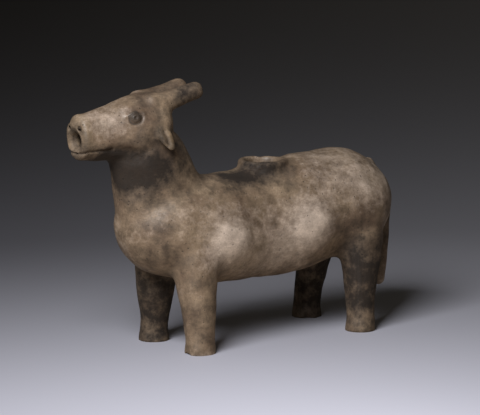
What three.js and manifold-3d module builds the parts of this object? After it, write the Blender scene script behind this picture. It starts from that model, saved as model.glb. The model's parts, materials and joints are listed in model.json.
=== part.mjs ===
// A hand-built earthenware pouring vessel in the shape of a standing horned animal.
// Each mesh is one piece of clay as the potter made it: a hollow trunk of a barrel and two domes,
// a neck tube, a hollow head with a pouring lip, solid legs, horns, ears, eyes and a tail, and a
// collar round the filling hole in the back. The pieces meet at luted joints.
// Millimetres, +Z up. The animal faces -X, its left side is towards -Y, its feet stand on z = 0.
import * as THREE from "three";
import { mergeVertices } from "three/addons/utils/BufferGeometryUtils.js";
import Module from "manifold-3d";

const wasm = await Module();
wasm.setup();

// Clay
const wall = 6;
const jointGap = 0.3;

// Trunk: a width is across Y and a depth is along Z
const trunkLength = 192;
const breastBulge = 35;
const rumpBulge = 36;
const breastWidth = 61;
const breastDepth = 62;
const shoulderWidth = 67;
const shoulderDepth = 65;
const waistWidth = 63;
const waistDepth = 66.5;
const flankWidth = 67;
const flankDepth = 71;
const haunchWidth = 69;
const haunchDepth = 65.5;
const bellyHeight = 36;
const breastRise = 3.5;
const flankRise = 3;
const haunchRise = 8;

// Legs and where they stand
const frontLegSet = 37.5;
const hindLegSet = 36;
const frontTrack = 48;
const hindTrack = 53.5;
const footLength = 19;
const footWidth = 18.5;
const soleTrim = 7;
const shank = 17.5;
const shankHeight = 9;
const kneeHeight = 28;
const frontKnee = 22.5;
const hindKnee = 20;
const legRootLength = 31;
const legRootWidth = 27;
const legRootSink = 22;
const legRootDome = 9;
const legLean = 5;
const hockSet = 3;

// Neck
const neckBaseLength = 58;
const neckBaseWidth = 46;
const neckLength = 54;
const neckWidth = 39;
const neckTopLength = 51;
const neckTopWidth = 36;
const neckSetBack = 34;
const neckSink = 10.5;
const neckLean = 21;

// Head: it runs along X from the back of the skull to the snout
const headLength = 57.5;
const headHeight = 132.5;
const headReach = 26.5;
const skullBulge = 12;
const browSet = 14;
const browDrop = 0.5;
const cheekSet = 28;
const cheekDrop = 2;
const skullWidth = 37;
const skullDepth = 41;
const browWidth = 35;
const browDepth = 39.5;
const cheekWidth = 29;
const cheekDepth = 34;
const snoutWidth = 22.5;
const snoutDepth = 27;
const snoutDrop = 2.8;

// Pouring lip on the end of the snout
const lipLength = 7;
const lipFlare = 0.6;
const lipRound = 4;
const spoutBore = 8;
const spoutDrop = 1.5;
const nostrilWidth = 3;
const nostrilLength = 6;
const nostrilSpacing = 9;
const nostrilRise = 6;

// Horns, ears and eyes
const hornRoot = 13.5;
const hornTip = 11;
const hornLength = 31.5;
const hornRootSpacing = 14;
const hornTipSpacing = 17;
const hornSag = 1;
const hornSetting = 6;
const earRoot = 8;
const earWidth = 9.5;
const earTip = 5.5;
const earThickness = 4.5;
const earSet = 4;
const earRise = 3;
const earSweep = 4;
const earSpread = 6.5;
const earDroop = 12;
const eyeLength = 8;
const eyeDepth = 6;
const eyeHeight = 6;
const eyeSet = 19;
const eyeSink = 4;
const eyeRise = 8;

// Tail
const tailRoot = 10;
const tailTip = 8;
const tailEnd = 24;
const tailTop = 20;
const tailLean = 3;
const tailSet = 2.5;

// Filling hole in the back, with its collar
const fillerBore = 21;
const fillerOffset = 5;
const collarWall = 4.5;
const collarHeight = 0.8;
const collarSink = 17;
const collarFlare = 1.5;
const collarRound = 1.2;

// Mesh fineness
const bodySides = 28;
const limbSides = 16;
const smallSides = 12;
const bodyRings = 12;
const limbRings = 10;
const smallRings = 6;
const pelletRings = 8;
const bulgeRings = 5;
const weld = 0.0001;
const grain = 0.005;
const needle = 0.002;

const clay = { color: 0x7b6a5b, roughness: 0.62 };
const paleClay = { color: 0x8b7b6c, roughness: 0.6 };
const darkClay = { color: 0x574a3e, roughness: 0.7 };

const point = (x, y, z) => new THREE.Vector3(x, y, z);
const backwards = point(1, 0, 0);
const forwards = point(-1, 0, 0);

// A section of a swept form: its centre, its size across the form and its size in depth
const section = (at, across, deep) => ({ at, across, deep });

// A solid for cutting and joining, from a closed geometry
function solid(geometry) {
  const bare = geometry.clone();
  bare.deleteAttribute("normal");
  bare.deleteAttribute("uv");
  const merged = mergeVertices(bare, weld);
  const vertProperties = new Float32Array(merged.attributes.position.array);
  const triVerts = new Uint32Array(merged.index.array);
  return new wasm.Manifold(new wasm.Mesh({ numProp: 3, vertProperties, triVerts }));
}

// A closed form swept through its sections, which stand square to the line of their centres, or
// to the heading if one is given. Its ends are flat, or bulge out by startBulge and endBulge.
// grow makes it larger all round, for a cut that clears it, or smaller, for a cavity.
function sweep(sections, options) {
  const { heading, side = point(0, 1, 0), sides = bodySides, rings = bodyRings, grow = 0 } = options;
  const { startBulge = 0, endBulge = 0 } = options;
  const spine = new THREE.CatmullRomCurve3(sections.map((s) => s.at));
  const girth = new THREE.CatmullRomCurve3(sections.map((s) => point(s.across, s.deep, 0)));
  const startReach = startBulge && startBulge + grow;
  const endReach = endBulge && endBulge + grow;
  const positions = [];
  const faces = [];
  const put = (p) => positions.push(p.x, p.y, p.z);
  const putRing = (t, shift, shrink) => {
    const along = heading ?? spine.getTangent(t);
    const across = side.clone().addScaledVector(along, -side.dot(along)).normalize();
    const deep = along.clone().cross(across);
    const half = girth.getPoint(t).multiplyScalar(1 / 2).addScalar(grow).multiplyScalar(shrink);
    const centre = spine.getPoint(t).addScaledVector(along, shift);
    for (let j = 0; j < sides; j++) {
      const turn = (2 * Math.PI * j) / sides;
      const out = across.clone().multiplyScalar(half.x * Math.cos(turn));
      put(out.addScaledVector(deep, half.y * Math.sin(turn)).add(centre));
    }
  };
  const quarter = (i) => (Math.PI * i) / (2 * bulgeRings);
  for (let i = bulgeRings - 1; startBulge && i > 0; i--) {
    putRing(0, -startReach * Math.sin(quarter(i)), Math.cos(quarter(i)));
  }
  for (let i = 0; i <= rings; i++) putRing(i / rings, 0, 1);
  for (let i = 1; endBulge && i < bulgeRings; i++) {
    putRing(1, endReach * Math.sin(quarter(i)), Math.cos(quarter(i)));
  }
  const startPole = positions.length / 3;
  const last = startPole - sides;
  put(spine.getPoint(0).addScaledVector(heading ?? spine.getTangent(0), -startReach));
  put(spine.getPoint(1).addScaledVector(heading ?? spine.getTangent(1), endReach));
  for (let j = 0; j < sides; j++) {
    const next = (j + 1) % sides;
    faces.push(startPole, next, j);
    faces.push(startPole + 1, last + j, last + next);
    for (let i = 0; i < last; i += sides) {
      faces.push(i + j, i + next, i + sides + next);
      faces.push(i + j, i + sides + next, i + sides + j);
    }
  }
  const geometry = new THREE.BufferGeometry();
  geometry.setAttribute("position", new THREE.Float32BufferAttribute(positions, 3));
  geometry.setIndex(faces);
  return solid(geometry);
}

const cut = (body, ...tools) => tools.reduce((rest, tool) => rest.subtract(tool), body);

// A box between two corners
function block(low, high) {
  const size = high.clone().sub(low);
  const middle = low.clone().lerp(high, 1 / 2);
  const geometry = new THREE.BoxGeometry(size.x, size.y, size.z);
  return solid(geometry.translate(middle.x, middle.y, middle.z));
}

// A round pellet of clay
function pellet(centre, length, width, height) {
  const geometry = new THREE.SphereGeometry(1 / 2, smallSides, pelletRings);
  geometry.scale(length, width, height);
  return solid(geometry.translate(centre.x, centre.y, centre.z));
}

// Places along the trunk
const trunkFront = -trunkLength / 2;
const trunkBack = trunkLength / 2;
const trunkHeight = bellyHeight + waistDepth / 2;
const frontLegX = trunkFront + frontLegSet;
const hindLegX = trunkBack - hindLegSet;
const breast = point(trunkFront + breastBulge, 0, trunkHeight + breastRise);
const shoulder = point(frontLegX + legRootLength / 2, 0, trunkHeight);
const flank = point(hindLegX - legRootLength, 0, trunkHeight + flankRise);
const waist = point((shoulder.x + flank.x) / 2, 0, trunkHeight);
const haunch = point(trunkBack - rumpBulge, 0, trunkHeight + haunchRise);

function trunkForm(grow) {
  return sweep(
    [
      section(breast, breastWidth, breastDepth),
      section(shoulder, shoulderWidth, shoulderDepth),
      section(waist, waistWidth, waistDepth),
      section(flank, flankWidth, flankDepth),
      section(haunch, haunchWidth, haunchDepth),
    ],
    { heading: backwards, startBulge: breastBulge, endBulge: rumpBulge, grow },
  );
}

// The head, from the back of the skull to the end of the snout
const skull = point(trunkFront - headReach + headLength - skullBulge, 0, headHeight);
const snout = point(trunkFront - headReach, 0, headHeight - snoutDrop);
const brow = point(skull.x - browSet, 0, headHeight - browDrop);
const cheek = point(skull.x - cheekSet, 0, headHeight - cheekDrop);

function headForm(grow) {
  return sweep(
    [
      section(skull, skullWidth, skullDepth),
      section(brow, browWidth, browDepth),
      section(cheek, cheekWidth, cheekDepth),
      section(snout, snoutWidth, snoutDepth),
    ],
    { heading: forwards, startBulge: skullBulge, grow },
  );
}

// The neck, from inside the trunk up into the skull
const neckFoot = point(trunkFront + neckSetBack, 0, breast.z);
const neckTop = point(neckFoot.x - neckLean, 0, headHeight - neckSink);
const neckMiddle = neckFoot.clone().lerp(neckTop, 1 / 2);

function neckForm(grow) {
  return sweep(
    [
      section(neckFoot, neckBaseWidth, neckBaseLength),
      section(neckMiddle, neckWidth, neckLength),
      section(neckTop, neckTopWidth, neckTopLength),
    ],
    { rings: limbRings, grow },
  );
}

// A round bar of one thickness between two places
function bar(from, to, thickness) {
  const ends = [from, to].map((end) => section(end, thickness, thickness));
  return sweep(ends, { sides: limbSides, rings: 1 });
}

const trunk = trunkForm(0);
const trunkCut = trunkForm(jointGap);
const headCut = headForm(jointGap);

// The way the liquid takes: filling hole, trunk, neck, head and spout
const fillerFoot = point(fillerOffset, 0, trunkHeight);
const collarRadius = fillerBore / 2 + collarWall;
const waistTop = waist.z + waistDepth / 2;
const flankTop = flank.z + flankDepth / 2;
const upTheBack = (fillerOffset + collarRadius - waist.x) / (flank.x - waist.x);
const collarTop = waistTop + (flankTop - waistTop) * upTheBack + collarHeight;
const fillerMouth = point(fillerOffset, 0, collarTop + collarHeight);
const spoutInside = point(snout.x + wall, 0, snout.z - spoutDrop);
const spoutMouth = point(snout.x - lipLength - wall, 0, snout.z - spoutDrop);
const pourWay = trunkForm(-wall)
  .add(neckForm(-wall))
  .add(headForm(-wall))
  .add(bar(fillerFoot, fillerMouth, fillerBore))
  .add(bar(spoutInside, spoutMouth, spoutBore));

// The surface of a cut body: points within a grain of each other are merged, and a needle-thin
// triangle is mended by turning the edge that it shares with its neighbour
function surface(body) {
  const { vertProperties, triVerts } = body.getMesh();
  const rough = new THREE.BufferGeometry();
  rough.setAttribute("position", new THREE.BufferAttribute(vertProperties, 3));
  rough.setIndex(new THREE.BufferAttribute(triVerts, 1));
  const geometry = mergeVertices(rough, grain);
  const spots = geometry.attributes.position;
  const corner = (i) => point(spots.getX(i), spots.getY(i), spots.getZ(i));
  const all = Array.from({ length: geometry.index.count / 3 }, (_, i) =>
    Array.from(geometry.index.array.slice(3 * i, 3 * i + 3)),
  );
  const faces = all.filter(([a, b, c]) => a !== b && b !== c && c !== a);
  const edge = (a, b) => a * spots.count + b;
  const owner = new Map();
  const own = (face) => face.forEach((a, i) => owner.set(edge(a, face[(i + 1) % 3]), face));
  faces.forEach(own);
  for (const face of faces) {
    const [p, q, r] = face.map(corner);
    const lengths = [p.distanceTo(q), q.distanceTo(r), r.distanceTo(p)];
    const longest = Math.max(...lengths);
    if ((2 * new THREE.Triangle(p, q, r).getArea()) / longest > needle) continue;
    const start = lengths.indexOf(longest);
    const [a, b, c] = [0, 1, 2].map((step) => face[(start + step) % 3]);
    const neighbour = owner.get(edge(b, a));
    const d = neighbour.find((i) => i !== a && i !== b);
    if (owner.has(edge(c, d)) || owner.has(edge(d, c))) continue;
    owner.delete(edge(a, b));
    owner.delete(edge(b, a));
    face.splice(0, 3, a, d, c);
    neighbour.splice(0, 3, d, b, c);
    own(face);
    own(neighbour);
  }
  geometry.setIndex(faces.flat());
  geometry.computeVertexNormals();
  return geometry;
}

// The vessel, and how a piece is added to it: one piece, or a left one and its mirror image
const vessel = new THREE.Group();
vessel.name = "animal_vessel";

function add(name, geometry, finish, side = 1) {
  const mesh = new THREE.Mesh(geometry, new THREE.MeshStandardMaterial(finish));
  mesh.name = name;
  mesh.scale.y = side;
  vessel.add(mesh);
}

const keep = (name, body, finish) => add(name, surface(body), finish);

function keepPair(name, body, finish) {
  const geometry = surface(body);
  add(name + "_left", geometry, finish);
  add(name + "_right", geometry, finish, -1);
}

// Trunk: a barrel closed by a breast dome and a rump dome, which carry the legs
const far = trunkLength;
const barrelFront = frontLegX + legRootLength / 2 + jointGap;
const barrelBack = hindLegX + hockSet - legRootLength / 2 - jointGap;
const barrelZone = block(point(barrelFront, -far, -far), point(barrelBack, far, far));
const breastZone = block(point(-far, -far, -far), point(barrelFront - jointGap, far, far));
const rumpZone = block(point(barrelBack + jointGap, -far, -far), point(far, far, far));
keep("trunk_barrel", cut(trunk.intersect(barrelZone), pourWay), clay);
keep("breast_dome", cut(trunk.intersect(breastZone), pourWay), clay);
keep("rump_dome", cut(trunk.intersect(rumpZone), pourWay), clay);

// Neck and head
keep("neck_tube", cut(neckForm(0), trunkCut, headCut, pourWay), clay);
keep("head_shell", cut(headForm(0), pourWay), clay);

// Pouring lip with two nostrils
const lipStart = point(snout.x - jointGap, 0, snout.z);
const lipEnd = point(snout.x - lipLength + lipRound, 0, snout.z);
const lipForm = sweep(
  [
    section(lipStart, snoutWidth, snoutDepth),
    section(lipStart.clone().lerp(lipEnd, 1 / 2), snoutWidth + lipFlare, snoutDepth + lipFlare),
    section(lipEnd, snoutWidth + lipFlare, snoutDepth + lipFlare),
  ],
  { heading: forwards, rings: smallRings, endBulge: lipRound },
);
const nostrils = [-1, 1].map((sign) => {
  const place = point(snout.x - lipLength, (sign * nostrilSpacing) / 2, snout.z + nostrilRise);
  return pellet(place, nostrilLength, nostrilWidth, nostrilWidth);
});
keep("muzzle_spout", cut(lipForm, pourWay, ...nostrils), paleClay);

// Collar round the filling hole
const collarFoot = collarTop - collarSink;
const collarProfile = [
  [fillerBore / 2, collarFoot],
  [collarRadius + collarFlare, collarFoot],
  [collarRadius, collarTop - collarRound],
  [collarRadius - collarRound, collarTop],
  [fillerBore / 2 + collarRound, collarTop],
  [fillerBore / 2, collarTop - collarRound],
  [fillerBore / 2, collarFoot],
].map(([radius, height]) => new THREE.Vector2(radius, height));
const collarShape = new THREE.LatheGeometry(collarProfile, bodySides);
collarShape.rotateX(Math.PI / 2).translate(fillerOffset, 0, 0);
keep("filler_collar", cut(solid(collarShape), trunkCut), clay);

// One leg, from under the ground, where it is cut off flat, up into the trunk
const rootHeight = bellyHeight + legRootSink;
const ground = block(point(-far, -far, -far), point(far, far, 0));

function leg(x, rootShift, track, knee) {
  const at = (height) => {
    const share = Math.max(0, height - shankHeight) / (rootHeight - shankHeight);
    return point(x + rootShift * share, legLean * share - track / 2, height);
  };
  const form = sweep(
    [
      section(at(-soleTrim), footWidth, footLength),
      section(at(0), footWidth, footLength),
      section(at(shankHeight), shank, shank),
      section(at(kneeHeight), knee, knee),
      section(at(rootHeight), legRootWidth, legRootLength),
    ],
    { sides: limbSides, rings: limbRings, endBulge: legRootDome },
  );
  return cut(form, ground, trunkCut);
}

keepPair("leg_front", leg(frontLegX, 0, frontTrack, frontKnee), clay);
keepPair("leg_hind", leg(hindLegX, hockSet, hindTrack, hindKnee), clay);

// Horn, swept straight back from the top of the skull
const crown = headHeight + skullDepth / 2;
const hornFoot = point(skull.x - hornSetting, -hornRootSpacing / 2, crown - hornRoot / 2);
const hornEnd = point(skull.x + hornLength - hornTip / 2, -hornTipSpacing / 2, crown);
const hornMiddle = hornFoot.clone().lerp(hornEnd, 1 / 2).sub(point(0, 0, hornSag));
const hornGirth = (hornRoot + hornTip) / 2;
const horn = sweep(
  [
    section(hornFoot, hornRoot, hornRoot),
    section(hornMiddle, hornGirth, hornGirth),
    section(hornEnd, hornTip, hornTip),
  ],
  { sides: limbSides, rings: smallRings, endBulge: hornTip / 2 },
);
keepPair("horn", cut(horn, headCut), clay);

// Ear, a flat leaf that hangs down at the back of the cheek
const earFootY = earThickness / 2 - skullWidth / 2;
const earFoot = point(skull.x - earSet, earFootY, headHeight + earRise);
const earEnd = earFoot.clone().add(point(earSweep, -earSpread, -earDroop));
const ear = sweep(
  [
    section(earFoot, earRoot, earThickness),
    section(earFoot.clone().lerp(earEnd, 1 / 2), earWidth, earThickness),
    section(earEnd, earTip, earThickness / 2),
  ],
  { side: backwards, sides: smallSides, rings: smallRings, endBulge: earThickness / 2 },
);
keepPair("ear", cut(ear, headCut), paleClay);

// Eye, a pellet pressed on the side of the brow
const eyeAt = point(skull.x - eyeSet, eyeSink - browWidth / 2, headHeight + eyeRise);
keepPair("eye", cut(pellet(eyeAt, eyeLength, eyeDepth, eyeHeight), headCut), darkClay);

// Tail, a clay roll that hangs down the middle of the rump
const tailX = trunkBack + tailSet;
const tail = sweep(
  [
    section(point(trunkBack - tailRoot, 0, haunch.z + tailTop), tailRoot, tailRoot),
    section(point(tailX, 0, haunch.z), tailRoot, tailRoot),
    section(point(tailX, 0, (haunch.z + tailEnd) / 2), tailTip, tailTip),
    section(point(tailX - tailLean, 0, tailEnd), tailTip, tailTip),
  ],
  { sides: limbSides, rings: limbRings, startBulge: tailRoot / 2, endBulge: tailTip / 2 },
);
keep("tail", cut(tail, trunkCut), clay);

// The middle of the vessel goes over the origin
const middle = new THREE.Box3().setFromObject(vessel).getCenter(point(0, 0, 0));
vessel.position.set(-middle.x, -middle.y, 0);

export default vessel;
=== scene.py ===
"""A hand-built earthenware pouring vessel in the shape of a standing horned animal.

The pieces of the frame are pressed into one mass of clay, their joints are smeared over, the potter's marks
are worked into the surface, and the mass is parted again into its pieces along the joints.
"""

import json
import math
from collections import Counter

import bmesh
import bpy
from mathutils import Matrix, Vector, noise
from mathutils.bvhtree import BVHTree
from mathutils.kdtree import KDTree


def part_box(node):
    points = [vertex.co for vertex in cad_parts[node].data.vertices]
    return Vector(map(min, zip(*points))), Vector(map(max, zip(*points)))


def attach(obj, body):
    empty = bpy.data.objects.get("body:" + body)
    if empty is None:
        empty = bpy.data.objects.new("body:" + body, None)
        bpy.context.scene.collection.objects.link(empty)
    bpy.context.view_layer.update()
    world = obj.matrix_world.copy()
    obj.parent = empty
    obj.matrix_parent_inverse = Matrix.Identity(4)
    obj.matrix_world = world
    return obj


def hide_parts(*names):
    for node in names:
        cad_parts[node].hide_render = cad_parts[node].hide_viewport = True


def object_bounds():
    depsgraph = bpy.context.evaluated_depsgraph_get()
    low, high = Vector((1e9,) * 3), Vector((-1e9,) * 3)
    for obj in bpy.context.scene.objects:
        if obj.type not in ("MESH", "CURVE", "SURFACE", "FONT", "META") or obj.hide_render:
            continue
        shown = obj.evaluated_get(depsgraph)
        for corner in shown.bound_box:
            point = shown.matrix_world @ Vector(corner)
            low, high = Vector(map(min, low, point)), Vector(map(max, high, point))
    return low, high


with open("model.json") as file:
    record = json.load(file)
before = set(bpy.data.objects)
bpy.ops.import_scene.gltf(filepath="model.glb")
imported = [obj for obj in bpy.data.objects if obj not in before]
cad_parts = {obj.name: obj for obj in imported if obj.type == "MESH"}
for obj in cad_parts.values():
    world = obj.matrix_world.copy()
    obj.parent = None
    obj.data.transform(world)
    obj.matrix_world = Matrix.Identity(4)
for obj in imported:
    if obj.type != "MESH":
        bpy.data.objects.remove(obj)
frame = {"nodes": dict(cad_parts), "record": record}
frame_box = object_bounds()

MM = 0.001
WELD = 0.001 * MM

# The skin of the clay: its fineness, and how far the pieces swell into their joints
GRAIN = 0.8 * MM
SQUEEZE = 0.25 * MM

# How far the clay is smeared over the joint of each piece or kind of piece; the narrower of two counts
SMEAR = {
    "trunk_barrel": 6 * MM,
    "breast_dome": 10 * MM,
    "rump_dome": 10 * MM,
    "neck_tube": 10 * MM,
    "head_shell": 9 * MM,
    "leg": 10 * MM,
    "horn": 4.5 * MM,
    "muzzle_spout": 5 * MM,
    "tail": 4 * MM,
    "ear": 2.4 * MM,
    "eye": 1.0 * MM,
    "filler_collar": 2.4 * MM,
}
SMEAR_STROKES = 70
SETTLING_STROKES = 3

# How far round a place its neighbouring pieces are looked for
SEARCH = 10 * MM

# The broad masses are evened out with a wet hand, but not below the feet
BROAD = ("trunk", "breast", "rump", "neck", "leg")
EVENING_STROKES = 36
FOOT = 5 * MM

# The kinds of piece whose small modelling needs a skin twice as fine, and the margin round them
FINE = ("head", "muzzle", "horn", "ear", "eye", "filler")
FINE_MARGIN = 1.5 * MM

# Swellings and hollows pressed into the left side and mirrored: place, width and height, in mm
SHOULDER = ((-27, -34, 61), 14, 2.2)
FLANK = ((35, -34, 66), 14, 2.0)
HAUNCH = ((80, -33, 78), 17, 1.0)
BREAST = ((-84, -6, 82), 13, 1.5)
WAIST = ((3, -34, 78), 19, -2.2)
GROIN = ((58, -30, 60), 12, -1.2)
BROW = ((-88, -13, 148), 5, 0.9)
CHEEK = ((-101, -13, 135), 8, -0.7)
JAW = ((-77, -18, 126), 9, 1.1)
NOSTRIL_RIM = ((-116, -4.5, 134.5), 3.4, 0.6)
THROAT = ((-93, -7, 109), 9, -1.6)
NECK_SIDE = ((-82, -17, 106), 10, -1.2)
NAPE = ((-49, -6, 132), 7, -1.8)
SWELLINGS = [SHOULDER, FLANK, HAUNCH, BREAST, WAIST, GROIN, BROW, CHEEK, JAW, NOSTRIL_RIM, THROAT, NECK_SIDE, NAPE]

# Strokes drawn with a stick, on the left side and mirrored: the points, width and height, in mm
MOUTH = [(-118, 0, 120.6), (-117, -6, 120.7), (-113, -11.5, 120.9), (-105, -13.5, 120.9), (-98, -14.5, 120.5)]
EYE = (-83.9, -15.2, 140.9)
NOSTRIL = (-117, -5.2, 135.4)
JAW_LINE = [(-97, -14, 121.5), (-83, -17.5, 117.5)]
EAR_HOLLOW = [(-67.5, -24, 134), (-66.5, -25, 130), (-66.5, -25.5, 126)]
STROKES = [
    (MOUTH, 0.9, -0.9),
    ([EYE], 0.9, -0.9),
    ([NOSTRIL], 1.7, -2.4),
    (JAW_LINE, 3.4, -1.5),
    (EAR_HOLLOW, 1.7, -1.2),
]
STEP = 0.4 * MM

# The groove round the pellet eye and the brow over it: half its length and height and its first and last
# angle, then the width and height of the stroke, in mm and degrees
RINGS = [
    (EYE, 4.6, 3.8, 0, 360, 0.8, -0.7),
    (EYE, 6.4, 5.4, 20, 160, 1.2, 0.6),
]
RING_STEP = 10

# A finger's mark reaches this many times its width
REACH = 2.4

# Knocks on the edges, each on one side only: place, width and height, in mm; two on the collar, then a horn,
# an ear, the muzzle and the four feet
CHIPS = [
    ([(5, -10, 107.2)], 2.2, -1.3),
    ([(24, 12, 107.2)], 1.6, -0.9),
    ([(-34, -10, 154)], 2.0, -0.9),
    ([(-66.5, 24, 122)], 1.6, -0.9),
    ([(-116, 9, 141)], 2.6, -1.0),
    ([(-60, -22, 0)], 4.4, -1.2),
    ([(88, -31, 0)], 3.6, -1.8),
    ([(-38, 32, 0)], 3.0, -1.4),
    ([(64, 14, 0)], 2.6, -1.2),
]

# The pouring hole: its middle, the reach of its flare, and how deep and wide it flares
SPOUT = Vector((-116.8, 0, 128.2)) * MM
FLARE_REACH = 8 * MM
FLARE_LENGTH = 6 * MM
FLARE_DEPTH = 3.4 * MM
FLARE_WIDENING = 0.6

# The soles are rubbed flat up to this height
SOLE = 0.6 * MM

# The potter's marks: wide dents, small lumps and the flats of the burnishing stone
DENT_SIZE = 27 * MM
DENT_DEPTH = 0.9 * MM
LUMP_SIZE = 9 * MM
LUMP_DEPTH = 0.3 * MM
FACET_SIZE = 13 * MM
FACET_DEPTH = 0.45 * MM

# Colours of the painted shade with some soot, of soil, of the paper with its painted darkness behind, lighter to
# the right, and of the room light, in sRGB hex
SHADE_AND_SOOT = "#231911"
SOIL = "#3A2F26"
PAPER = "#D2D2E0"
PAPER_GLOW = "#D4C4B0"
BACKDROP = "#3D3D45"
BACKDROP_PAINTED_LIT_RIGHT = "#9797A0"
ROOM_LIGHT = "#3B3832"
DISTANCE = "#151517"

# The photograph's view
VIEW_TURN = -36
VIEW_RISE = 9
VIEW_DISTANCE = 1500 * MM
VIEW_CENTRE = Vector((0.7, 0, 79)) * MM
LENS = 187.5

# The floor: its width, the middle of its painted pool of light, where the pool begins and ends to fall off into
# painted darkness, and the line across the view along which that painted darkness lightens
FLOOR_WIDTH = 12
PAINTED_LIGHT_POOL = (-0.066, -0.261, 0)
PALE_REACH = 0.04
DARK_REACH = 0.66
FALL_OFF = 1.5
ACROSS = (0.809, -0.588, 0)
LEFT_END = -0.4
RIGHT_END = 0.6

# A place this far below the surface that so many smoothing strokes leave counts as wholly hollow
HOLLOW_DEPTH = 0.4 * MM
HOLLOW_STROKES = 24

# The grain of the clay: clouds of the firing, blotches, flecks and grit, and the pits where grit fell out
CLOUD = 28 * MM
BLOTCH = 8 * MM
FLECK = 3 * MM
GRIT = 0.9 * MM
PIT_SPACING = 3.2 * MM

# The strokes of the burnishing stone: their spacing, and how much shorter they are across than along
STROKE = 1.5 * MM
STREAK = 0.13

# Burnishing strokes run down the legs and the tail, and lengthwise elsewhere
LEG_TOP = 62 * MM
LEG_FADE = 14 * MM
TAIL_START = 98 * MM

# Where the clay is painted pale, as painted highlights with some wear, and painted dark where the share is below
# nothing, as painted shade with some soot: the place, its width, the share, in mm
TONES = [
    # Painted highlights with some wear: shoulder and flank, rump and cheek where the light falls, the ribs, and the
    # belly painted lighter than its shade
    ((-31, -33, 65), 13, 1.1),
    ((29, -34, 70), 14, 0.9),
    ((57, -20, 100), 22, 0.25),
    ((72, -30, 90), 13, 0.3),
    ((98, -16, 88), 15, 0.55),
    ((-102, -12, 137), 12, 0.4),
    ((-2, -28, 84), 14, 0.15),
    ((12, -30, 50), 18, 0.6),
    # Painted dark: painted shade at the pouring hole, and on the back round the filling hole the painted shadow of
    # the head and neck, with some soot
    ((-118, 0, 126), 12, -0.7),
    ((-16, -10, 98), 13, -0.9),
    ((2, -10, 101), 13, -0.9),
    ((20, -14, 103), 12, -0.6),
    # Painted shade: the shadow of the head on the throat, jaw and neck, and shade on the breast
    ((-94, -6, 109), 14, -1.0),
    ((-100, -4, 115), 12, -0.9),
    ((-84, -14, 107), 16, -0.7),
    ((-70, -19, 110), 15, -0.6),
    ((-74, -18, 128), 8, -0.5),
    ((-50, -10, 114), 18, -0.6),
    ((-80, -8, 82), 12, -0.1),
    ((-78, -18, 56), 12, -0.3),
    # Painted darker: horns and brow
    ((-46, -9, 153), 15, -0.9),
    ((-74, -10, 147), 9, -0.5),
    # Painted shade: the legs in the shade of the body from front to back, the belly, and under the tail
    ((-66, -28, 58), 12, -0.4),
    ((-44, -32, 24), 20, -0.3),
    ((-46, 20, 40), 22, -1.0),
    ((-46, 20, 10), 22, -0.8),
    ((58, -30, 62), 13, -0.2),
    ((74, -30, 44), 20, -0.9),
    ((70, -30, 16), 22, -0.8),
    ((76, 24, 42), 22, -0.9),
    ((76, 24, 12), 22, -0.9),
    ((16, 0, 38), 22, -0.4),
    ((110, 0, 56), 22, -0.5),
]

# The values that the vertices keep for the material
MARKS = ("tone", "hollow", "upright")

# What each kind of piece is luted to
HOSTS = {
    "eye": "head_shell",
    "ear": "head_shell",
    "horn": "head_shell",
    "muzzle": "head_shell",
    "head": "neck_tube",
    "neck": "breast_dome",
    "leg_front": "breast_dome",
    "leg_hind": "rump_dome",
    "tail": "rump_dome",
    "filler": "trunk_barrel",
    "breast": "trunk_barrel",
    "rump": "trunk_barrel",
}

# A patch of a piece with fewer faces is a stray, and ragged edges are evened out so many times
STRAY = 300
TRIMMINGS = 4

NAMES = sorted(frame["nodes"])


def smear_of(name):
    """The reach of the smeared clay round a piece, by its own name or by its kind."""
    return SMEAR.get(name, SMEAR.get(name.split("_")[0]))


def as_object(bm, name):
    """A new object in the scene that holds the mesh of a bmesh."""
    mesh = bpy.data.meshes.new(name)
    bm.to_mesh(mesh)
    bm.free()
    made = bpy.data.objects.new(name, mesh)
    bpy.context.scene.collection.objects.link(made)
    return made


def node_copy(name):
    """A copy of a piece of the frame with its loose triangles joined."""
    bm = bmesh.new()
    bm.from_mesh(frame["nodes"][name].data)
    bmesh.ops.remove_doubles(bm, verts=bm.verts, dist=WELD)
    return bm


def swell(bm, distance):
    """Moves every vertex out along its normal."""
    bm.normal_update()
    for vert in bm.verts:
        vert.co += vert.normal * distance


def relax(bm, verts, times):
    """Smooths the given vertices a number of times."""
    for _ in range(times):
        bmesh.ops.smooth_vert(bm, verts=verts, factor=0.5, use_axis_x=True, use_axis_y=True, use_axis_z=True)


def largest_island(bm):
    """Deletes every island of the mesh but the largest."""
    left = set(bm.verts)
    islands = []
    while left:
        front = [left.pop()]
        island = set(front)
        while front:
            vert = front.pop()
            near = {edge.other_vert(vert) for edge in vert.link_edges} - island
            island |= near
            front.extend(near)
        left -= island
        islands.append(island)
    islands.sort(key=len)
    for island in islands[:-1]:
        bmesh.ops.delete(bm, geom=list(island), context="VERTS")


def pressed_together():
    """All pieces as one mass of clay with an even skin."""
    mass = bmesh.new()
    for name in NAMES:
        mass.from_mesh(frame["nodes"][name].data)
    bmesh.ops.remove_doubles(mass, verts=mass.verts, dist=WELD)
    swell(mass, SQUEEZE)
    rough = as_object(mass, "rough")
    skin = rough.modifiers.new("Skin", "REMESH")
    skin.mode = "VOXEL"
    skin.voxel_size = GRAIN
    bpy.context.view_layer.update()
    even = rough.evaluated_get(bpy.context.evaluated_depsgraph_get()).to_mesh()
    figure = bmesh.new()
    figure.from_mesh(even)
    bpy.data.objects.remove(rough)
    largest_island(figure)
    swell(figure, -SQUEEZE)
    figure.verts.ensure_lookup_table()
    return figure


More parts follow.
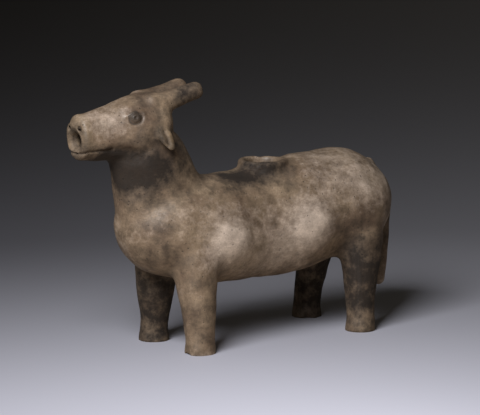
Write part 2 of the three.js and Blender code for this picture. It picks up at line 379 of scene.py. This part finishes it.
def near_pieces(figure):
    """For each vertex the number of its nearest piece, and how deep it lies in the smear of a joint, 0 to 1."""
    trees = []
    for name in NAMES:
        copy = node_copy(name)
        trees.append((BVHTree.FromBMesh(copy), smear_of(name)))
        copy.free()
    owners = []
    depths = []
    for vert in figure.verts:
        found = []
        for number, (tree, smear) in enumerate(trees):
            distance = tree.find_nearest(vert.co, SEARCH)[3]
            if distance is not None:
                found.append((distance, number, smear))
        found.sort()
        owners.append(found[0][1])
        shares = [1 - distance / min(smear, found[0][2]) for distance, _, smear in found[1:]]
        depths.append(max(shares, default=0))
    return owners, depths


def smear_joints(figure, owners, depths):
    """Draws wet clay over the joints, the nearer the more strokes, and evens out the broad masses."""
    for stroke in range(SMEAR_STROKES):
        share = stroke / SMEAR_STROKES
        relax(figure, [vert for vert in figure.verts if depths[vert.index] > share], 1)
    relax(figure, figure.verts, SETTLING_STROKES)
    broad = [number for number, name in enumerate(NAMES) if name.startswith(BROAD)]
    masses = [vert for vert in figure.verts if owners[vert.index] in broad and vert.co.z > FOOT]
    relax(figure, masses, EVENING_STROKES)


def small_work(figure):
    """The vertices round the pieces whose modelling is small."""
    boxes = [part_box(name) for name in NAMES if name.startswith(FINE)]
    found = []
    for vert in figure.verts:
        for low, high in boxes:
            if all(a - FINE_MARGIN < at < b + FINE_MARGIN for a, at, b in zip(low, vert.co, high)):
                found.append(vert)
                break
    return found


def refine(figure):
    """Makes the skin twice as fine where the modelling is small."""
    fine = set(small_work(figure))
    edges = [edge for edge in figure.edges if fine.issuperset(edge.verts)]
    bmesh.ops.subdivide_edges(figure, edges=edges, cuts=1, use_grid_fill=True)
    relax(figure, small_work(figure), 1)
    figure.verts.ensure_lookup_table()
    figure.verts.index_update()
    figure.faces.index_update()


def bell(distance, width):
    """A smooth hump, 1 at no distance and near 0 past its width."""
    return math.exp(-((distance / width) ** 2))


def chain(points):
    """Points along a line of straight stretches, one small step apart."""
    spots = [points[0]]
    for start, end in zip(points, points[1:]):
        steps = math.ceil((end - start).length / STEP)
        spots.extend(start.lerp(end, step / steps) for step in range(1, steps + 1))
    return spots


def arc(middle, wide, high, first, last):
    """Points round an upright ellipse that faces sideways, between two angles."""
    points = []
    for angle in range(first, last + 1, RING_STEP):
        turn = math.radians(angle)
        points.append(Vector(middle) + Vector((wide * math.cos(turn), 0, high * math.sin(turn))))
    return points


def press(figure, shapes):
    """Moves the clay out or in along chains of spots that are first laid on the skin."""
    skin = BVHTree.FromBMesh(figure)
    tree = KDTree(len(figure.verts))
    for vert in figure.verts:
        tree.insert(vert.co, vert.index)
    tree.balance()
    figure.normal_update()
    for spots, width, height in shapes:
        nearest = {}
        for spot in spots:
            on_skin = skin.find_nearest(spot)[0]
            for _, index, distance in tree.find_range(on_skin, REACH * width):
                nearest[index] = min(distance, nearest.get(index, distance))
        for index, distance in nearest.items():
            vert = figure.verts[index]
            vert.co += vert.normal * (height * bell(distance, width))


def laid_out(shapes, sides=(1, -1)):
    """Each shape in metres, as a chain of spots, on the left side and on the right."""
    made = []
    for points, width, height in shapes:
        for side in sides:
            spots = chain([Vector((x, y * side, z)) * MM for x, y, z in points])
            made.append((spots, width * MM, height * MM))
    return made


def flare(figure):
    """Opens the mouth of the pouring hole as a finger would."""
    for vert in figure.verts:
        out = vert.co - SPOUT
        reach = math.hypot(out.y, out.z)
        if abs(out.x) < FLARE_LENGTH and reach < FLARE_REACH:
            share = (1 - reach / FLARE_REACH) * (1 - abs(out.x) / FLARE_LENGTH)
            widened = 1 + FLARE_WIDENING * share
            vert.co = SPOUT + Vector((out.x + FLARE_DEPTH * share, out.y * widened, out.z * widened))


def model(figure):
    """Shapes the big masses and the face with fingers and a stick."""
    press(figure, laid_out([([point], width, height) for point, width, height in SWELLINGS]))
    press(figure, laid_out(STROKES + [(arc(*ring[:5]), *ring[5:]) for ring in RINGS]) + laid_out(CHIPS, [1]))
    flare(figure)


def rub_flat(figure):
    """Rubs the four soles flat on the floor, and whatever stands out of the frame's box."""
    low, high = frame_box
    for vert in figure.verts:
        vert.co = [min(max(at, a), b) for a, at, b in zip(low, vert.co, high)]
        if vert.co.z < SOLE:
            vert.co.z = 0


def hand_marks(figure):
    """Finger dents, lumps and the flats that burnishing leaves."""
    figure.normal_update()
    for vert in figure.verts:
        place = vert.co
        dents = noise.noise(place / DENT_SIZE) * DENT_DEPTH
        lumps = noise.noise(place / LUMP_SIZE) * LUMP_DEPTH
        flats = (noise.voronoi(place / FACET_SIZE)[0][0] - 0.5) * FACET_DEPTH
        vert.co = place + vert.normal * (dents + lumps + flats)


def commonest(numbers):
    """The number that comes most often, the lowest of equals."""
    count = Counter(numbers)
    return max(sorted(count), key=count.get)


def piece_faces(figure, owners):
    """For each face the number of its piece, with ragged edges evened out and stray patches given back."""
    pieces = [commonest(owners[vert.index] for vert in face.verts) for face in figure.faces]
    for _ in range(TRIMMINGS):
        for face in figure.faces:
            near = [pieces[other.index] for edge in face.edges for other in edge.link_faces if other != face]
            piece = commonest(near)
            if near.count(piece) > len(face.edges) / 2:
                pieces[face.index] = piece
    for patch, border in patches(figure, pieces):
        if len(patch) < STRAY and border:
            piece = commonest(border)
            for face in patch:
                pieces[face.index] = piece
    return pieces


def patches(figure, pieces):
    """The patches of joined faces of one piece, with the pieces along their borders."""
    left = set(figure.faces)
    found = []
    while left:
        front = [left.pop()]
        patch = set(front)
        border = []
        while front:
            face = front.pop()
            for edge in face.edges:
                for other in edge.link_faces:
                    if pieces[other.index] != pieces[face.index]:
                        border.append(pieces[other.index])
                    elif other not in patch:
                        patch.add(other)
                        front.append(other)
        left -= patch
        found.append((patch, border))
    return found


def host_of(name):
    """The number of the piece that a piece is luted to, or none for the barrel."""
    for kind, host in HOSTS.items():
        if name.startswith(kind):
            return NAMES.index(host)
    return None


def loops_of(edges):
    """Closed loops of edges, the longest first."""
    left = set(edges)
    loops = []
    while left:
        front = [left.pop()]
        loop = set(front)
        while front:
            edge = front.pop()
            near = {other for vert in edge.verts for other in vert.link_edges if other in left}
            left -= near
            loop |= near
            front.extend(near)
        loops.append(sorted(loop, key=lambda edge: edge.index))
    return sorted(loops, key=len, reverse=True)


def wall_off(figure, edges):
    """Faces that close a joint: a ring between the outside and the hollow, or a lid on a solid piece."""
    loops = loops_of(edges)
    if len(loops) > 1:
        return bmesh.ops.bridge_loops(figure, edges=loops[0] + loops[1])["faces"]
    lid = bmesh.ops.edgeloop_fill(figure, edges=loops[0])["faces"]
    return bmesh.ops.poke(figure, faces=lid)["faces"]


def taken(figure, faces):
    """Some faces of the figure as a mesh of their own, with the values at their vertices.

    The operators copy faces only within one mesh, so here they are made again one by one."""
    bm = bmesh.new()
    values = [(figure.verts.layers.float[name], bm.verts.layers.float.new(name)) for name in MARKS]
    values.append((figure.verts.layers.float_vector["lie"], bm.verts.layers.float_vector.new("lie")))
    behind_there = figure.faces.layers.int["behind"]
    behind_here = bm.faces.layers.int.new("behind")
    made = {}
    for face in faces:
        for vert in face.verts:
            if vert.index not in made:
                made[vert.index] = bm.verts.new(vert.co)
                for there, here in values:
                    made[vert.index][here] = vert[there]
        copy = bm.faces.new([made[vert.index] for vert in face.verts])
        copy[behind_here] = face[behind_there]
    return bm


def turn_out(bm):
    """Turns the walls of a piece as its skin, and all of its faces outwards."""
    lie = bm.verts.layers.float_vector["lie"]
    behind = bm.faces.layers.int["behind"]
    bmesh.ops.recalc_face_normals(bm, faces=bm.faces)
    bm.normal_update()
    agreement = sum(face.normal.dot(face.verts[0][lie]) for face in bm.faces if face[behind] < 0)
    if agreement < 0:
        bmesh.ops.reverse_faces(bm, faces=bm.faces)


def part(figure, pieces):
    """Closes each joint with a wall and gives each piece a closed mesh of its own."""
    behind_layer = figure.faces.layers.int.new("behind")
    hosts = [host_of(name) for name in NAMES]
    faces = [[] for _ in NAMES]
    for face in figure.faces:
        face[behind_layer] = -1
        faces[pieces[face.index]].append(face)
    borders = []
    for edge in figure.edges:
        beside = {pieces[face.index] for face in edge.link_faces}
        if len(beside) > 1:
            borders.append((edge, beside))
    joints = []
    for number, host in enumerate(hosts):
        if host is None:
            continue
        beyond = {number}
        for _ in NAMES:
            beyond |= {child for child, parent in enumerate(hosts) if parent in beyond}
        seam = [edge for edge, beside in borders if beside & beyond and beside - beyond]
        joints.append((number, host, seam))
    for number, host, seam in joints:
        for wall in wall_off(figure, seam):
            wall[behind_layer] = host
            faces[number].append(wall)
            faces[host].append(wall)
    figure.verts.index_update()
    parts = {}
    for number, name in enumerate(NAMES):
        bm = taken(figure, faces[number])
        turn_out(bm)
        parts[name] = as_object(bm, name + "_clay")
        lay_normals(parts[name].data)
    return parts


def lay_normals(mesh):
    """Shades the outside as one skin across the joints, so that no joint shows where the clay was smeared."""
    mesh.shade_smooth()
    lie = [value.vector.copy() for value in mesh.attributes["lie"].data]
    behind = [value.value for value in mesh.attributes["behind"].data]
    corners = [loop.vertex_index for loop in mesh.loops]
    normals = [None] * len(corners)
    for face in mesh.polygons:
        flat = face.normal.copy()
        for corner in face.loop_indices:
            normals[corner] = flat if behind[face.index] >= 0 else lie[corners[corner]]
    mesh.normals_split_custom_set(normals)
    for name in ("lie", "behind"):
        mesh.attributes.remove(mesh.attributes[name])


def linear(code):
    """The linear colour of an sRGB hex code."""
    parts = [int(code[at : at + 2], 16) / 255 for at in (1, 3, 5)]
    return (*[c / 12.92 if c <= 0.04045 else ((c + 0.055) / 1.055) ** 2.4 for c in parts], 1)


def add(tree, kind, settings, inputs, output=0):
    """Adds a shader node with its settings, gives each input its value or its link, and returns an output."""
    node = tree.nodes.new("ShaderNode" + kind)
    for name, value in settings.items():
        setattr(node, name, value)
    for socket, value in inputs.items():
        if isinstance(value, bpy.types.NodeSocket):
            tree.links.new(value, node.inputs[socket])
        else:
            node.inputs[socket].default_value = value
    return node.outputs[output] if node.outputs else None


def earthenware(name, low_fired, clay, wear_and_highlight, gloss):
    """Hand-burnished earthenware, a satin clay that the firing clouded brown and grey.

    It paints pale places as painted highlights with some wear from hands, and dark places as painted shade, under
    the head, round the neck, on the legs and the underside and round the filling hole, with some soot there; it
    gives narrow streaks along the trunk and down the legs where the burnishing stone ran, pits where grit fell out,
    and soil in the hollows."""
    material = bpy.data.materials.new(name)
    material.use_nodes = True
    tree = material.node_tree
    tree.nodes.clear()
    place = add(tree, "TexCoord", {}, {}, "Object")
    tone, hollow, upright = [add(tree, "Attribute", {"attribute_name": mark}, {}, "Fac") for mark in MARKS]

    # The grain of the clay, from the clouds of the firing down to grit
    cloud = add(tree, "TexNoise", {}, {"Vector": place, "Scale": 1 / CLOUD, "Detail": 4, "Roughness": 0.6})
    blotch = add(tree, "TexNoise", {}, {"Vector": place, "Scale": 1 / BLOTCH, "Detail": 4, "Roughness": 0.65})
    fleck = add(tree, "TexNoise", {}, {"Vector": place, "Scale": 1 / FLECK, "Detail": 5, "Roughness": 0.7})
    grit = add(tree, "TexNoise", {}, {"Vector": place, "Scale": 1 / GRIT, "Detail": 3, "Roughness": 0.6})

    # The strokes of the burnishing stone, long along the trunk and long down the legs
    along = add(tree, "Mapping", {}, {"Vector": place, "Scale": (STREAK, 1, 1)})
    down = add(tree, "Mapping", {}, {"Vector": place, "Scale": (1, 1, STREAK)})
    lengthwise = add(tree, "TexNoise", {}, {"Vector": along, "Scale": 1 / STROKE, "Detail": 5, "Roughness": 0.6})
    downwards = add(tree, "TexNoise", {}, {"Vector": down, "Scale": 1 / STROKE, "Detail": 5, "Roughness": 0.6})
    stroke = add(tree, "Mix", {}, {0: upright, 2: lengthwise, 3: downwards})

    # Pits in the middle of some of the cells of a broken pattern
    cell = add(tree, "TexVoronoi", {}, {"Vector": place, "Scale": 1 / PIT_SPACING})
    grown = add(tree, "Math", {"operation": "MULTIPLY_ADD"}, {0: fleck, 1: -0.35, 2: cell})
    pit = add(tree, "MapRange", {}, {"Value": grown, "From Min": -0.03, "From Max": -0.12})

    # The clay's own colour, from the low-fired clouds to the well-fired clay
    firing = add(tree, "MapRange", {}, {"Value": cloud, "From Min": 0.36, "From Max": 0.64})
    body = add(tree, "Mix", {"data_type": "RGBA"}, {0: firing, 6: linear(low_fired), 7: linear(clay)}, 2)

    # Painted pale where the tone is above nothing, as painted highlights with some wear, in ragged patches, and
    # less in the hollows
    highlight_and_wear_base = add(tree, "Math", {"operation": "MULTIPLY_ADD"}, {0: hollow, 1: -0.25, 2: tone})
    ragged = add(tree, "Math", {"operation": "MULTIPLY_ADD"}, {0: fleck, 1: 0.9, 2: highlight_and_wear_base})
    broken = add(tree, "Math", {"operation": "MULTIPLY_ADD"}, {0: blotch, 1: 0.8, 2: ragged})
    wear_and_highlight_share = add(tree, "MapRange", {}, {"Value": broken, "From Min": 0.85, "From Max": 1.65})
    clay_with_highlights_and_wear = add(tree, "Mix", {"data_type": "RGBA"}, {0: wear_and_highlight_share, 6: body, 7: linear(wear_and_highlight)}, 2)

    # Painted shade, with some soot, where the tone is below nothing, in ragged patches too
    shade_and_soot_base = add(tree, "Math", {"operation": "MULTIPLY_ADD"}, {0: fleck, 1: 0.6, 2: tone})
    cloudy = add(tree, "Math", {"operation": "MULTIPLY_ADD"}, {0: blotch, 1: 1.5, 2: shade_and_soot_base})
    shade_and_soot_share = add(tree, "MapRange", {}, {"Value": cloudy, "From Min": 0.98, "From Max": 0.06})
    clay_in_shade_and_soot = add(tree, "Mix", {"data_type": "RGBA"}, {0: shade_and_soot_share, 6: clay_with_highlights_and_wear, 7: linear(SHADE_AND_SOOT)}, 2)

    # Blotches all over, soil in the hollows, then the scratches, the grit and the pits
    patchy = add(
        tree, "MapRange", {}, {"Value": blotch, "From Min": 0.3, "From Max": 0.7, "To Min": 0.72, "To Max": 1.25}
    )
    blotched = add(tree, "Mix", {"data_type": "RGBA", "blend_type": "MULTIPLY"}, {0: 1.0, 6: clay_in_shade_and_soot, 7: patchy}, 2)
    deep = add(tree, "Math", {"operation": "MULTIPLY_ADD"}, {0: fleck, 1: 0.5, 2: hollow})
    soil = add(tree, "MapRange", {}, {"Value": deep, "From Min": 0.3, "From Max": 1.1})
    soiled = add(tree, "Mix", {"data_type": "RGBA"}, {0: soil, 6: blotched, 7: linear(SOIL)}, 2)
    pale = add(
        tree, "MapRange", {}, {"Value": stroke, "From Min": 0.56, "From Max": 0.76, "To Min": 1.0, "To Max": 1.3}
    )
    scratched = add(tree, "Mix", {"data_type": "RGBA", "blend_type": "MULTIPLY"}, {0: 1.0, 6: soiled, 7: pale}, 2)
    sandy = add(
        tree, "MapRange", {}, {"Value": grit, "From Min": 0.3, "From Max": 0.7, "To Min": 0.84, "To Max": 1.14}
    )
    specked = add(tree, "Mix", {"data_type": "RGBA", "blend_type": "MULTIPLY"}, {0: 1.0, 6: scratched, 7: sandy}, 2)
    shaded = add(tree, "MapRange", {}, {"Value": pit, "To Min": 1.0, "To Max": 0.45})
    colour = add(tree, "Mix", {"data_type": "RGBA", "blend_type": "MULTIPLY"}, {0: 1.0, 6: specked, 7: shaded}, 2)

    # Satin where the stone ran, duller under the painted shade with its soot and under soil, glossier under the
    # painted highlights with their wear
    ends = {"From Min": 0.3, "From Max": 0.7, "To Min": gloss - 0.1, "To Max": gloss + 0.1}
    satin = add(tree, "MapRange", {}, {"Value": stroke, **ends})
    duller_in_shade_and_soot = add(tree, "Math", {"operation": "MULTIPLY_ADD"}, {0: shade_and_soot_share, 1: 0.35, 2: satin})
    dusty = add(tree, "Math", {"operation": "MULTIPLY_ADD"}, {0: soil, 1: 0.25, 2: duller_in_shade_and_soot})
    roughness = add(tree, "Math", {"operation": "MULTIPLY_ADD"}, {0: wear_and_highlight_share, 1: -0.07, 2: dusty})

    # The relief of the grit, the strokes and the pits, in real depths
    gritty = add(tree, "Bump", {}, {"Height": grit, "Strength": 0.5, "Distance": 0.12 * MM})
    streaked = add(tree, "Bump", {}, {"Height": stroke, "Strength": 0.7, "Distance": 0.2 * MM, "Normal": gritty})
    relief = {"Height": pit, "Strength": 0.8, "Distance": 0.3 * MM, "Normal": streaked}
    pitted = add(tree, "Bump", {"invert": True}, relief)

    look = {"Base Color": colour, "Roughness": roughness, "Normal": pitted, "IOR": 1.5}
    shader = add(tree, "BsdfPrincipled", {}, look)
    add(tree, "OutputMaterial", {}, {"Surface": shader})
    return material


def paint(figure):
    """Marks how hollow and how upright each place is, and where the clay is painted pale, as painted highlights
    with some wear, and painted dark, as painted shade with some soot.
    """
    tone, hollow, upright = [figure.verts.layers.float.new(name) for name in MARKS]
    lie = figure.verts.layers.float_vector.new("lie")
    tones = [(Vector(spot) * MM, width * MM, share) for spot, width, share in TONES]
    soft = figure.copy()
    relax(soft, soft.verts, HOLLOW_STROKES)
    figure.normal_update()
    for vert, low in zip(figure.verts, soft.verts):
        vert[hollow] = (low.co - vert.co).dot(vert.normal) / HOLLOW_DEPTH
    soft.free()
    for vert in figure.verts:
        vert[lie] = vert.normal
        vert[tone] = sum(share * bell((vert.co - spot).length, width) for spot, width, share in tones)
        leg = (LEG_TOP - vert.co.z) / LEG_FADE
        tail = (vert.co.x - TAIL_START) / LEG_FADE
        vert[upright] = min(max(leg, tail, 0), 1)


def towards(turn, rise):
    """The direction that a lamp or the camera stands in, from its turn round the animal and its rise."""
    turn = math.radians(turn)
    rise = math.radians(rise)
    return Vector((math.sin(turn) * math.cos(rise), -math.cos(turn) * math.cos(rise), math.sin(rise)))


def camera():
    """The photograph's viewing angle: a long lens from the front left, a little above the animal."""
    data = bpy.data.cameras.new("camera")
    data.lens = LENS
    made = bpy.data.objects.new("camera", data)
    bpy.context.scene.collection.objects.link(made)
    back = towards(VIEW_TURN, VIEW_RISE)
    made.location = VIEW_CENTRE + back * VIEW_DISTANCE
    made.rotation_euler = (-back).to_track_quat("-Z", "Y").to_euler()
    bpy.context.scene.camera = made


def lamp(name, turn, rise, distance, width, power, colour):
    """A square soft lamp that points at the middle of the animal."""
    data = bpy.data.lights.new(name, "AREA")
    data.shape = "SQUARE"
    data.size = width
    data.energy = power
    data.color = linear(colour)[:3]
    made = bpy.data.objects.new(name, data)
    bpy.context.scene.collection.objects.link(made)
    back = towards(turn, rise)
    made.location = VIEW_CENTRE + back * distance
    made.rotation_euler = (-back).to_track_quat("-Z", "Y").to_euler()


def floor():
    """A wide floor of pale paper, cool to look at and warm in what it throws back, with a painted pool of light
    round the animal that falls off to painted darkness further behind, lighter towards the right.
    """
    bm = bmesh.new()
    bmesh.ops.create_grid(bm, x_segments=8, y_segments=8, size=FLOOR_WIDTH / 2)
    made = as_object(bm, "floor")
    material = bpy.data.materials.new("studio_paper")
    material.use_nodes = True
    tree = material.node_tree
    tree.nodes.clear()
    place = add(tree, "TexCoord", {}, {}, "Object")
    # A painted pool of light round the animal, painted dark further off and painted lighter towards the right
    away = add(tree, "VectorMath", {"operation": "DISTANCE"}, {0: place, 1: PAINTED_LIGHT_POOL}, "Value")
    near = add(tree, "MapRange", {}, {"Value": away, "From Min": DARK_REACH, "From Max": PALE_REACH})
    pale = add(tree, "Math", {"operation": "POWER"}, {0: near, 1: FALL_OFF})
    across = add(tree, "VectorMath", {"operation": "DOT_PRODUCT"}, {0: place, 1: ACROSS}, "Value")
    right = add(tree, "MapRange", {}, {"Value": across, "From Min": LEFT_END, "From Max": RIGHT_END})
    dark = add(tree, "Mix", {"data_type": "RGBA"}, {0: right, 6: linear(BACKDROP), 7: linear(BACKDROP_PAINTED_LIT_RIGHT)}, 2)
    seen = add(tree, "LightPath", {}, {}, "Is Camera Ray")
    paper = add(tree, "Mix", {"data_type": "RGBA"}, {0: seen, 6: linear(PAPER_GLOW), 7: linear(PAPER)}, 2)
    colour = add(tree, "Mix", {"data_type": "RGBA"}, {0: pale, 6: dark, 7: paper}, 2)
    shader = add(tree, "BsdfPrincipled", {}, {"Base Color": colour, "Roughness": 0.75})
    add(tree, "OutputMaterial", {}, {"Surface": shader})
    made.data.materials.append(material)


def air():
    """The even light of the room, and the dark grey that the camera sees behind the floor."""
    world = bpy.data.worlds.new("air")
    world.use_nodes = True
    bpy.context.scene.world = world
    tree = world.node_tree
    tree.nodes.clear()
    seen = add(tree, "LightPath", {}, {}, "Is Camera Ray")
    colour = add(tree, "Mix", {"data_type": "RGBA"}, {0: seen, 6: linear(ROOM_LIGHT), 7: linear(DISTANCE)}, 2)
    light = add(tree, "Background", {}, {"Color": colour, "Strength": 1.0})
    add(tree, "OutputWorld", {}, {"Surface": light})


figure = pressed_together()
owners, depths = near_pieces(figure)
smear_joints(figure, owners, depths)
refine(figure)
model(figure)
owners, _ = near_pieces(figure)
hand_marks(figure)
rub_flat(figure)
paint(figure)
pieces = piece_faces(figure, owners)
parts = part(figure, pieces)
figure.free()

# The body is burnished with a stone, hands have rubbed the muzzle and the ears, and the pellet eyes are darker
# Each finish paints the same highlights, with some wear, and the same shade from the tones
burnished = earthenware("burnished_earthenware", low_fired="#5F4E40", clay="#806E5B", wear_and_highlight="#AF9F92", gloss=0.5)
wear_and_highlight = earthenware("rubbed_earthenware", low_fired="#64533F", clay="#857360", wear_and_highlight="#AF9F92", gloss=0.56)
dark = earthenware("dark_earthenware", low_fired="#453A31", clay="#5A4D42", wear_and_highlight="#7C6E61", gloss=0.55)
FINISHES = {"burnished_clay": burnished, "worn_clay": wear_and_highlight, "dark_clay": dark}
SLOTS = {entry["node"]: entry["material_slot"] for entry in frame["record"]["subparts"]}

for name, piece in parts.items():
    piece.data.materials.append(FINISHES[SLOTS[name]])
    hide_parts(name)
    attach(piece, "root")

camera()
lamp("key", turn=-58, rise=38, distance=0.9, width=0.44, power=11, colour="#FFFFFF")
floor()
air()
bpy.context.scene.view_settings.view_transform = "Standard"
